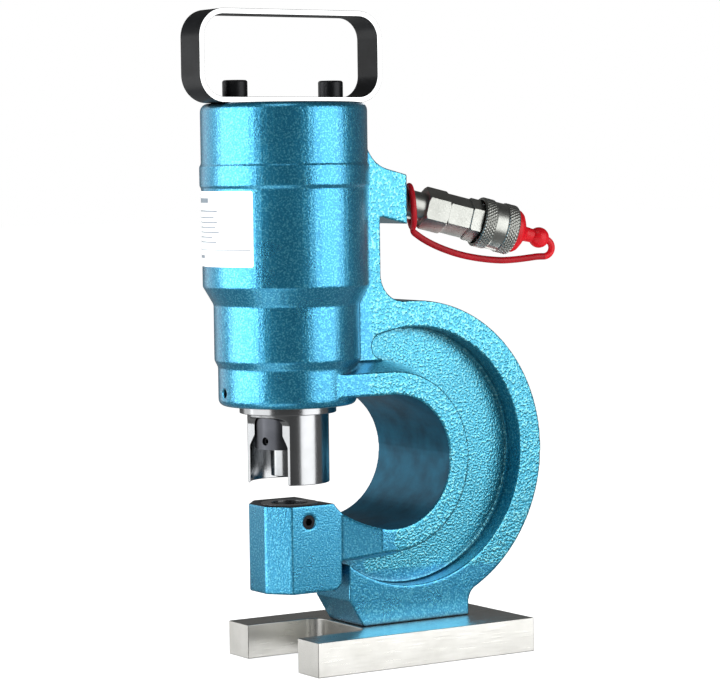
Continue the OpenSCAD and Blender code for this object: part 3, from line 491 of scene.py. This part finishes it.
castMesh.polygons.foreach_get("center", centres)
castMesh.polygons.foreach_get("normal", normals)
x, y, z = (centres.reshape(-1, 3) / mm).T
normalY, normalZ = normals.reshape(-1, 3).T[1:]
fromThroat = np.hypot(x - casting["throat"][0], z - casting["throat"][1])
inBore = fromThroat < casting["throatRadius"] + casting["boreReach"]
inBore &= (np.abs(normalY) < casting["boreTilt"]) & (x > casting["boreFrontX"])
onTop = np.abs(z - casting["dieTop"]) < casting["topReach"]
onTop &= (normalZ > casting["topTilt"]) & (x < casting["topRearX"])
# the cylinder, the die block and the foot have the finer paint; on the foot its darker shades are painted
# shade
fineAndShadedArea = (np.hypot(x - punchAxisX, y) < casting["turnedRadius"]) & (z > casting["turnedFrom"])
fineAndShadedArea |= (x < casting["blockRearX"]) & (z < casting["blockTo"])
fineAndShadedArea |= z < casting["footTo"]
finish = np.zeros(len(castMesh.polygons), dtype=np.int32)
finish[fineAndShadedArea] = castFinishes.index(fineAndShadedPaint)
# the throat's bored wall takes the darker enamel as painted shade
finish[inBore] = castFinishes.index(boreEnamelWithPaintedShade)
finish[onTop] = castFinishes.index(machinedTop)
castMesh.polygons.foreach_set("material_index", finish)
allSmooth(castMesh)
castMesh.update()
print("casting faces:", len(castMesh.polygons))

# label: a white vinyl plate wrapped on the cylinder, with plain bars; in mm and degrees
label = {
    "radius": 60.15, "low": 290.0, "high": 343.6, "halfAngle": 37.0, "corner": 1.6, "thick": 0.12,
    "steps": 48, "cornerSteps": 6, "sharp": 30, "barLift": 0.05, "barCorner": 0.2,
    # height, thickness, start and end angle
    "bars": [(337.0, 3.4, -33, -6), (329.5, 1.0, -33, 6), (325.0, 0.8, -33, 2), (321.5, 0.8, -33, 6),
             (318.0, 0.8, -33, 4), (314.5, 0.8, -33, 8), (311.0, 0.8, -33, 0), (307.5, 0.8, -33, 5),
             (302.0, 0.5, -35, 35), (297.0, 2.2, -33, -14)],
}


# rounded rectangle bent round the punch axis
def wrapped(name, low, high, startAngle, endAngle, radius, corner, material):
    width = math.radians(endAngle - startAngle) * radius
    middleTurn = math.pi + math.radians(startAngle + endAngle) / 2
    right, left = width / 2 - corner, corner - width / 2
    top, bottom = high - corner, low + corner
    outline = []
    for cx, cz, start in ((right, top, 0), (left, top, 90), (left, bottom, 180), (right, bottom, 270)):
        for k in range(label["cornerSteps"] + 1):
            a = math.radians(start + 90 * k / label["cornerSteps"])
            outline.append((cx + corner * math.cos(a), cz + corner * math.sin(a)))
    flat = bmesh.new()
    flat.faces.new([flat.verts.new((u, 0, v)) for u, v in outline])
    for k in range(1, label["steps"]):
        cut = -width / 2 + width * k / label["steps"]
        bmesh.ops.bisect_plane(flat, geom=flat.verts[:] + flat.edges[:] + flat.faces[:],
                               plane_co=(cut, 0, 0), plane_no=(1, 0, 0))
    for vert in flat.verts:
        turn = middleTurn + vert.co.x / radius
        vert.co = Vector((punchAxisX + radius * math.cos(turn), radius * math.sin(turn), vert.co.z)) * mm
    bmesh.ops.recalc_face_normals(flat, faces=flat.faces)
    mesh = bpy.data.meshes.new(name)
    flat.to_mesh(mesh)
    flat.free()
    middle = mesh.polygons[len(mesh.polygons) // 2]
    if (middle.center - Vector((punchAxisX * mm, 0, middle.center.z))).dot(middle.normal) < 0:
        mesh.flip_normals()
    piece = newPiece(name, mesh, "frame", "casting_paint")
    paint(piece, material)
    thick = piece.modifiers.new("thick", "SOLIDIFY")
    thick.thickness = label["thick"] * mm
    thick.offset = -1.0
    applyAll(piece)
    smoothShade(piece.data, label["sharp"])


wrapped("blankLabel", label["low"], label["high"], -label["halfAngle"], label["halfAngle"], label["radius"],
        label["corner"], labelVinyl)
for i, (height, thickness, startAngle, endAngle) in enumerate(label["bars"]):
    wrapped("labelBar" + str(i + 1), height - thickness / 2, height + thickness / 2, startAngle, endAngle,
            label["radius"] + label["barLift"], label["barCorner"], labelInk)
print("label made")

# plate, cap, handle, screws, stripper and die
steelPlate = softened("steelPlate", "base_plate", "frame", "plate_steel", milledPlate, width=0.7)
softened("turnedCap", "cylinder_cap", "frame", "cap_steel", turnedCap, width=0.6)
handle = {"edge": 0.9, "cutFace": 0.95}
blackHandle = softened("blackHandle", "carry_handle", "frame", "handle_paint", powderBlack,
                       width=handle["edge"])
blackHandle.data.materials.append(cutEdge)
for polygon in blackHandle.data.polygons:
    polygon.material_index = 1 if abs(polygon.normal.y) > handle["cutFace"] else 0
softened("handleScrews", "handle_screws", "frame", "black_steel", blackOxide, width=0.5)
brightStripper = softened("brightStripper", "stripper", "frame", "stripper_chrome", polished, width=0.55,
                          clamp=False)
toolDie = softened("toolDie", "die", "frame", "tool_steel", groundTool, width=0.4, clamp=False)
print("plate, cap, handle, stripper and die made")

# adapter and rear hexagon of the coupler
zincAdapter = softened("zincAdapter", "inlet_adapter", "frame", "zinc_steel", zinc, width=0.35, clamp=False)
zincCoupler = softened("zincCoupler", "coupler_body", "frame", "zinc_steel", zinc, width=0.3, clamp=False)

# sliding sleeve: two knurled bands with a smooth waist between them; in mm, along the port
# the knurl is cut coarser than the real one, so that it shows
sleeve = {
    "start": 74.8, "end": 102.8, "radius": 18.8, "bevel": 0.8, "bandGap": 0.5,
    "waist": 18.0, "waistLength": 9.5, "waistDip": 0.15, "waistRamp": 0.6,
    "skirt": 16.67, "inner": 12.55, "lip": 15.15, "step": 86.8, "lipLength": 3.0,
    "teeth": 44, "perTooth": 10, "rows": 24, "depth": 0.6, "lean": 0.8, "cross": 0.6, "shadedBeyond": 0.45,
    "weld": 0.001, "sharp": 14,
}


def knurledSleeve():
    start, end, radius, bevel = (sleeve[key] for key in ("start", "end", "radius", "bevel"))
    band = (end - start - sleeve["waistLength"]) / 2
    around = sleeve["teeth"] * sleeve["perTooth"]
    pitch = 2 * math.pi * radius / sleeve["teeth"]
    profile = [(sleeve["skirt"], start, 0), (radius - bevel, start, 0)]  # radius, place along, knurled or not

    def bandRows(low, high):
        for k in range(sleeve["rows"] + 1):
            profile.append((radius, low + (high - low) * k / sleeve["rows"], 1))

    bandRows(start + bevel, start + band - sleeve["bandGap"])
    profile.append((sleeve["waist"], start + band, 0))
    profile.append((sleeve["waist"] - sleeve["waistDip"], start + band + sleeve["waistRamp"], 0))
    profile.append((sleeve["waist"] - sleeve["waistDip"], end - band - sleeve["waistRamp"], 0))
    profile.append((sleeve["waist"], end - band, 0))
    bandRows(end - band + sleeve["bandGap"], end - bevel)
    lipStart = end - sleeve["lipLength"]
    profile += [(radius - bevel, end, 0), (sleeve["lip"], end, 0), (sleeve["lip"], lipStart, 0),
                (sleeve["inner"], lipStart, 0), (sleeve["inner"], sleeve["step"], 0),
                (sleeve["skirt"], sleeve["step"], 0)]
    rings, depths = [], []
    for outside, along, cut in profile:
        ring = []
        for j in range(around):
            turn = 2 * math.pi * j / around
            dig = 0.0
            if cut:
                tooth = sleeve["teeth"] * turn / (2 * math.pi)
                one = (tooth + sleeve["lean"] * along / pitch) % 1.0
                two = (tooth - sleeve["lean"] * along / pitch) % 1.0
                dig = sleeve["depth"] * max(abs(2 * one - 1) ** 2, sleeve["cross"] * abs(2 * two - 1) ** 2)
            depths.append(dig)
            out = outside - dig
            ring.append(portFrame @ (Vector((out * math.cos(turn), out * math.sin(turn), along)) * mm))
        rings.append(ring)
    rings.append(rings[0])
    depths += depths[:around]
    mesh = skin("knurledSleeve", rings, closeEnds=False)
    # deep faces take the dark groove material as painted shade, the crests the paler zinc as partly painted
    # highlight
    for polygon in mesh.polygons:
        deep = sum(depths[v] for v in polygon.vertices) / len(polygon.vertices)
        if deep > 0:
            polygon.material_index = 2 if deep > sleeve["shadedBeyond"] * sleeve["depth"] else 1
    work = bmesh.new()
    work.from_mesh(mesh)
    bmesh.ops.remove_doubles(work, verts=work.verts, dist=sleeve["weld"] * mm)
    bmesh.ops.recalc_face_normals(work, faces=work.faces)
    work.to_mesh(mesh)
    work.free()
    return mesh


sleevePiece = newPiece("knurledSleeve", knurledSleeve(), "sleeve", "zinc_steel", "coupler_sleeve")
paint(sleevePiece, zinc, zincKnurl, knurlGrooveShade)
smoothShade(sleevePiece.data, sleeve["sharp"])
softened("redPlug", "dust_plug", "plug", "red_plastic", redVinyl, width=0.8, segments=3)
softened("redRing", "tether_ring", "frame", "red_plastic", cordVinyl, width=0.3, segments=1)
paint(redTether, cordVinyl)
print("coupler made")

# springs close up by their joint's travel, towards the end that stays; in mm
springSharp = 50
springs = {
    "returnSpring": {"node": "return_spring", "joint": "ram_slide", "length": 70.1, "travel": 26,
                     "axis": (0, 0, 1), "anchor": Vector((punchAxisX, 0, 235.3)) * mm},
    "sleeveSpring": {"node": "sleeve_spring", "joint": "sleeve_slide", "length": 11.7, "travel": 5,
                     "axis": portAlong, "anchor": onPort(74.8, 0)},
    "valveSpring": {"node": "valve_spring", "joint": "valve_slide", "length": 14.7, "travel": 4,
                    "axis": portAlong, "anchor": onPort(59.8, 0)},
}
for name, spring in springs.items():
    piece = newPiece(name, welded(spring["node"]), "frame", "spring_steel", spring["node"])
    rounder = piece.modifiers.new("round", "SUBSURF")
    rounder.levels = rounder.render_levels = 1
    paint(piece, wire)
    applyAll(piece)
    smoothShade(piece.data, springSharp)
    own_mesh(piece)
print("springs made")

# CAD pieces that keep their shape
keptFinish = {
    "base_screws": blackOxide, "punch_set_screw": blackOxide, "stripper_set_screw": blackOxide,
    "die_set_screw": blackOxide, "cap_seal": nitrile, "rod_wiper": nitrile, "coupler_seal": nitrile,
    "guide_bush": bushBronze, "piston_wear_ring": bushBronze, "adapter_seal": bushBronze,
    "valve_poppet": bushBronze, "piston_seal": urethane, "ram": darkRod, "punch": groundTool,
    "sleeve_snap_ring": wire, "locking_balls": polished,
}
for nodeName, material in keptFinish.items():
    paint(nodes[nodeName], material)
print("inner pieces finished")

# floor and room: the camera sees white, dull surfaces take the fill, and gloss mirrors a dim room
studio = {
    "floorSize": 30.0, "floorDrop": 0.2, "floor": "#F3F3F2", "floorRough": 0.8, "glow": 0.81,
    "sky": 1.0, "fill": 0.26, "frontShare": 0.55,
    # from straight down to straight up
    "mirrored": [(0.0, 0.28), (0.35, 0.22), (0.46, 0.13), (0.6, 0.1), (1.0, 0.04)],
}
floorMesh = bpy.data.meshes.new("paleFloor")
half = studio["floorSize"] / 2
floorMesh.from_pydata([(-half, -half, 0), (half, -half, 0), (half, half, 0), (-half, half, 0)], [],
                      [(0, 1, 2, 3)])
paleFloor = bpy.data.objects.new("paleFloor", floorMesh)
scene.collection.objects.link(paleFloor)
paleFloor.location.z = -studio["floorDrop"] * mm
paleFloor.visible_glossy = False
# mat paper: even white with no gloss, lifted by a glow so that it runs into the backdrop
floorMaterial, floorTree = startMaterial("matPaperFloor")
endMaterial(floorTree, {"Base Color": linear(studio["floor"]), "Roughness": studio["floorRough"],
                        "Emission Color": grey(1.0), "Emission Strength": studio["glow"]})
floorMesh.materials.append(floorMaterial)

world = bpy.data.worlds.new("studioRoom")
scene.world = world
world.use_nodes = True
room = world.node_tree
room.nodes.clear()
seen = addNode(room, "ShaderNodeLightPath")
backdrop = addNode(room, "ShaderNodeBackground", {"Color": grey(studio["sky"]), "Strength": 1.0})
fill = addNode(room, "ShaderNodeBackground", {"Color": grey(1.0), "Strength": studio["fill"]})
# the dim room is paler towards the floor, dark overhead and a little darker on the photo's side
direction = addNode(room, "ShaderNodeTexCoord").outputs["Generated"]
parts = addNode(room, "ShaderNodeSeparateXYZ", {"Vector": direction})
raised = addNode(room, "ShaderNodeMapRange",
                 {"Value": parts.outputs["Z"], "From Min": -1.0, "From Max": 1.0})
behind = addNode(room, "ShaderNodeVectorMath",
                 {0: direction, 1: (photoCamera["look"][0], photoCamera["look"][1], 0.0)},
                 {"operation": "DOT_PRODUCT"})
paler = addNode(room, "ShaderNodeMapRange",
                {"Value": behind.outputs["Value"], "From Min": -1.0, "To Min": studio["frontShare"]})
mirrored = addNode(room, "ShaderNodeValToRGB", {"Fac": raised.outputs["Result"]},
                   stops=[(at, grey(value)) for at, value in studio["mirrored"]])
dim = addNode(room, "ShaderNodeBackground",
              {"Color": mirrored.outputs["Color"], "Strength": paler.outputs["Result"]})
indirect = addNode(room, "ShaderNodeMixShader", {"Fac": seen.outputs["Is Glossy Ray"],
                                                 1: fill.outputs["Background"], 2: dim.outputs["Background"]})
choose = addNode(room, "ShaderNodeMixShader", {"Fac": seen.outputs["Is Camera Ray"],
                                               1: indirect.outputs["Shader"],
                                               2: backdrop.outputs["Background"]})
addNode(room, "ShaderNodeOutputWorld", {"Surface": choose.outputs["Shader"]})

# the bare metals and the handle have dimmer lights of their own, so that they keep their greys
brightPieces = bpy.data.collections.new("brightPieces")
paintedPieces = bpy.data.collections.new("paintedPieces")
bareMetals = [steelPlate, brightStripper, toolDie, zincAdapter, zincCoupler, sleevePiece, blackHandle]
bareMetals += [nodes[name] for name in ("ram", "punch", "locking_balls", "valve_poppet", "sleeve_snap_ring")]
for piece in scene.objects:
    if piece.type == "MESH":
        (brightPieces if piece in bareMetals else paintedPieces).objects.link(piece)
# the coupler's lower flats see a pale card on the floor beyond it
couplerPieces = bpy.data.collections.new("couplerPieces")
for piece in (zincAdapter, zincCoupler, sleevePiece):
    couplerPieces.objects.link(piece)

# softboxes face the aim, and cards on the floor face up; in metres and watts
aim = Vector((-0.03, 0.0, 0.24))
upward = Vector((0.0, 0.0, 1.0))
softboxes = {
    "leftSoftbox": {"place": (-1.30, 0.26, 0.50), "size": (1.5, 1.4), "power": 21.0, "lit": paintedPieces},
    "rightSoftbox": {"place": (0.60, -1.12, 0.55), "size": (1.2, 1.2), "power": 11.0, "lit": paintedPieces},
    "topSoftbox": {"place": (-0.5, -0.5, 1.9), "size": (0.7, 0.7), "power": 3.0, "lit": paintedPieces},
    "backSoftbox": {"place": (-0.53, 1.25, 0.5), "size": (0.9, 1.2), "power": 2.4, "lit": paintedPieces},
    "leftFloorCard": {"place": (-0.45, -0.26, 0.0), "size": (0.5, 0.5), "power": 0.65, "lit": paintedPieces},
    "leftMetalBox": {"place": (-1.33, 0.25, 0.50), "size": (1.5, 1.4), "power": 9.0, "lit": brightPieces},
    "rightMetalBox": {"place": (0.50, -1.16, 0.40), "size": (1.1, 1.4), "power": 8.5, "lit": brightPieces},
    "backMetalCard": {"place": (-0.95, 1.05, 0.15), "size": (0.9, 0.9), "power": 2.2, "lit": brightPieces},
    "couplerCard": {"place": (0.33, 0.2, 0.0), "size": (0.45, 0.45), "power": 1.3, "lit": couplerPieces},
}
for name, box in softboxes.items():
    lampData = bpy.data.lights.new(name, "AREA")
    lampData.shape = "RECTANGLE"
    lampData.size, lampData.size_y = box["size"]
    lampData.energy = box["power"]
    lamp = bpy.data.objects.new(name, lampData)
    scene.collection.objects.link(lamp)
    lamp.location = box["place"]
    facing = aim - Vector(box["place"]) if box["place"][2] > 0 else upward
    lamp.rotation_euler = facing.to_track_quat("-Z", "Y").to_euler()
    lamp.light_linking.receiver_collection = box["lit"]
    lamp.visible_camera = False
scene.view_settings.view_transform = "Standard"
print("studio lit")
